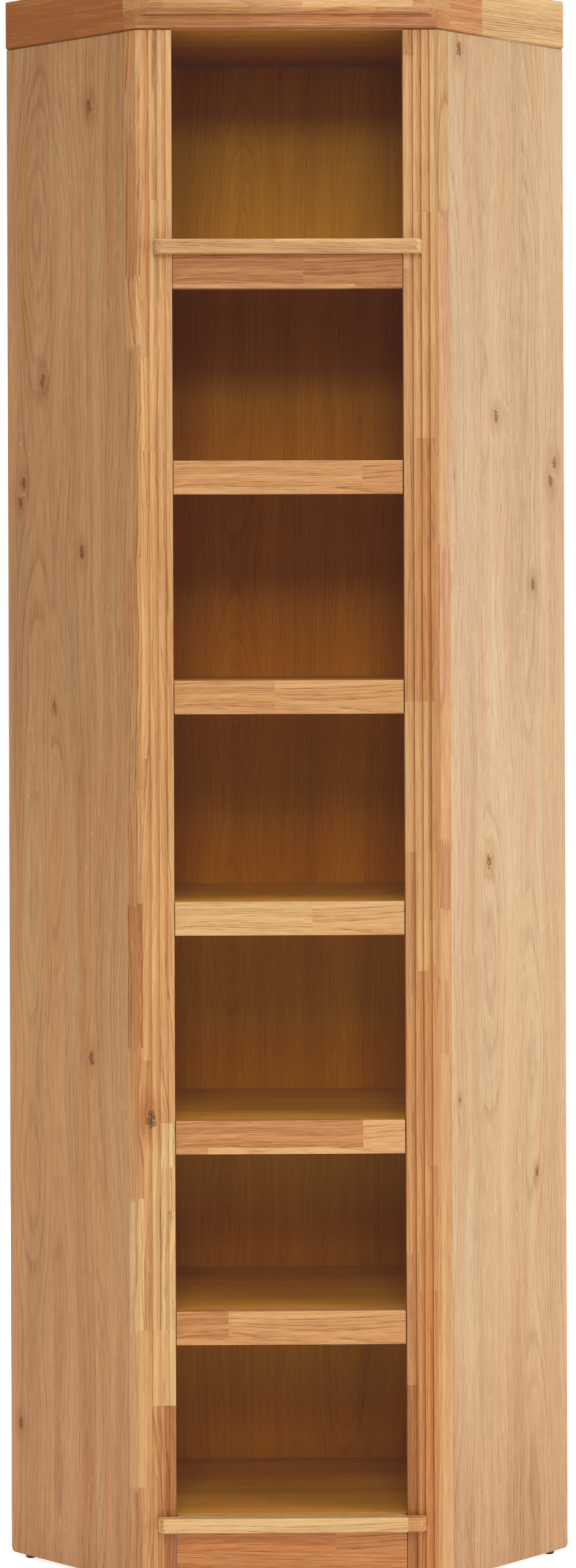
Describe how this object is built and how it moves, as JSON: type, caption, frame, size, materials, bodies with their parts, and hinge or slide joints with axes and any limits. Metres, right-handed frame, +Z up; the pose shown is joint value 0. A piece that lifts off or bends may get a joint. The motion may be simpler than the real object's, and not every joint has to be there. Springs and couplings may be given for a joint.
{
  "type": "corner shelf unit",
  "caption": "Tall open corner shelf unit in oak with fluted pilasters, angled side panels, moulded cap and adjustable shelves.",
  "frame": {"origin": "middle of the footprint on the floor", "axes": "+Z up, +Y from the fluted front towards the room corner, +X to the right of someone facing the unit"},
  "size_m": [0.7918, 0.3786, 2.2],
  "materials": {
    "pilaster_oak": "satin lacquered solid oak, finger-jointed lamellas",
    "side_veneer": "satin lacquered knotty oak veneer, vertical grain",
    "cap_oak": "satin lacquered solid oak planks",
    "rail_oak": "satin lacquered solid oak, horizontal grain",
    "nosing_oak": "satin lacquered solid oak, rounded edges",
    "board_veneer": "satin lacquered oak veneer",
    "back_veneer": "oak veneer, vertical grain",
    "pin_steel": "nickel plated",
    "glide_plastic": "matte"
  },
  "bodies": {
    "root": {"pilaster_left": "pilaster_oak", "pilaster_right": "pilaster_oak", "side_panel_left": "side_veneer", "cap_side_left": "cap_oak", "pin_1_left_front": "pin_steel", "pin_1_left_rear": "pin_steel", "pin_2_left_front": "pin_steel", "pin_2_left_rear": "pin_steel", "pin_3_left_front": "pin_steel", "pin_3_left_rear": "pin_steel", "pin_4_left_front": "pin_steel", "pin_4_left_rear": "pin_steel", "pin_5_left_front": "pin_steel", "pin_5_left_rear": "pin_steel", "glide_front_left": "glide_plastic", "glide_rear_left": "glide_plastic", "wall_bracket_left": "pin_steel", "side_panel_right": "side_veneer", "cap_side_right": "cap_oak", "pin_1_right_front": "pin_steel", "pin_1_right_rear": "pin_steel", "pin_2_right_front": "pin_steel", "pin_2_right_rear": "pin_steel", "pin_3_right_front": "pin_steel", "pin_3_right_rear": "pin_steel", "pin_4_right_front": "pin_steel", "pin_4_right_rear": "pin_steel", "pin_5_right_front": "pin_steel", "pin_5_right_rear": "pin_steel", "glide_front_right": "glide_plastic", "glide_rear_right": "glide_plastic", "wall_bracket_right": "pin_steel", "back_panel_centre": "back_veneer", "back_panel_right": "back_veneer", "back_panel_left": "back_veneer", "cornice_front": "cap_oak", "top_panel": "board_veneer", "upper_board": "board_veneer", "upper_nosing": "nosing_oak", "upper_rail": "rail_oak", "bottom_board": "board_veneer", "bottom_nosing": "nosing_oak", "plinth_front": "rail_oak", "plinth_rear": "board_veneer", "glide_plinth_left": "glide_plastic", "glide_plinth_right": "glide_plastic"},
    "shelf_1": {"shelf_1_board": "board_veneer", "shelf_1_rail": "rail_oak"},
    "shelf_2": {"shelf_2_board": "board_veneer", "shelf_2_rail": "rail_oak"},
    "shelf_3": {"shelf_3_board": "board_veneer", "shelf_3_rail": "rail_oak"},
    "shelf_4": {"shelf_4_board": "board_veneer", "shelf_4_rail": "rail_oak"},
    "shelf_5": {"shelf_5_board": "board_veneer", "shelf_5_rail": "rail_oak"}
  },
  "joints": [
    {"name": "shelf_1_lift", "type": "slide", "parent": "root", "child": "shelf_1", "axis": [0, 0, 1], "range_m": [0, 0.064]},
    {"name": "shelf_2_lift", "type": "slide", "parent": "root", "child": "shelf_2", "axis": [0, 0, 1], "range_m": [0, 0.064]},
    {"name": "shelf_3_lift", "type": "slide", "parent": "root", "child": "shelf_3", "axis": [0, 0, 1], "range_m": [0, 0.064]},
    {"name": "shelf_4_lift", "type": "slide", "parent": "root", "child": "shelf_4", "axis": [0, 0, 1], "range_m": [0, 0.064]},
    {"name": "shelf_5_lift", "type": "slide", "parent": "root", "child": "shelf_5", "axis": [0, 0, 1], "range_m": [0, 0.064]}
  ]
}
